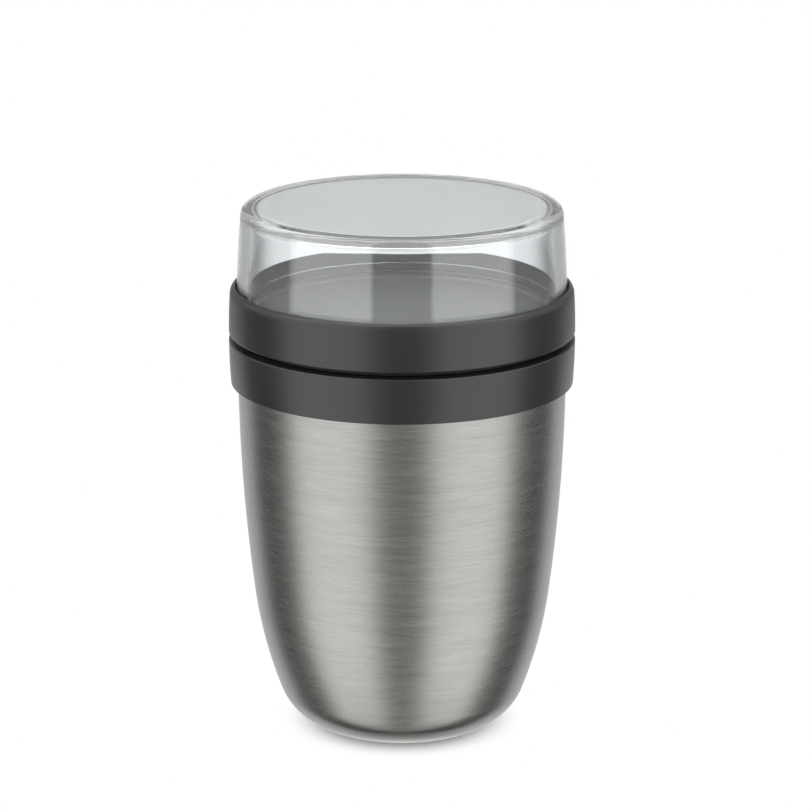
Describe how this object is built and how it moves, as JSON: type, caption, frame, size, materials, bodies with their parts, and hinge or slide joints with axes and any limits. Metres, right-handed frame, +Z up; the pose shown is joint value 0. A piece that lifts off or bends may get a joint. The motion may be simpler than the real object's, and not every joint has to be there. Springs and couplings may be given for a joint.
{
  "type": "insulated food container",
  "caption": "Vacuum-walled steel food pot with a dark collar, a lug-closed plug lid carrying a dish, and a clear push-on cover.",
  "frame": {"origin": "centre of the standing ring, on the table", "axes": "+Z up along the axis of the container; the lugs are spread evenly about it, starting on +X"},
  "size_m": [0.107, 0.107, 0.1663],
  "materials": {
    "brushed_shell": "brushed round the axis",
    "liner_steel": "satin",
    "foil": "bright",
    "bead": "melted",
    "pill": "porous",
    "dark_plastic": "fine matt",
    "dark_rubber": "matt",
    "foam": "foamed",
    "clear_plastic": "clear and polished",
    "pale_rubber": "satin"
  },
  "bodies": {
    "pot": {"outer_shell": "brushed_shell", "inner_liner": "liner_steel", "radiation_shield": "foil", "base_plate": "liner_steel", "port_seal": "bead", "base_cap": "brushed_shell", "getter_holder": "liner_steel", "getter": "pill", "collar": "dark_plastic", "collar_gasket": "dark_rubber"},
    "seal": {"lid_seal": "dark_rubber"},
    "lid": {"lid_ring": "dark_plastic", "plug_cup": "dark_plastic", "foam_core": "foam", "dish": "dark_plastic"},
    "cover": {"cover": "clear_plastic", "cover_seal": "pale_rubber"}
  },
  "joints": [
    {"name": "lid_lift", "type": "slide", "parent": "pot", "child": "seal", "axis": [0, 0, 1], "range_m": [0, 0.1]},
    {"name": "lid_turn", "type": "hinge", "parent": "seal", "child": "lid", "pos_m": [0, 0, 0.125], "axis": [0, 0, 1], "range_deg": [0, 45]},
    {"name": "cover_lift", "type": "slide", "parent": "lid", "child": "cover", "axis": [0, 0, 1], "range_m": [0, 0.06]}
  ]
}
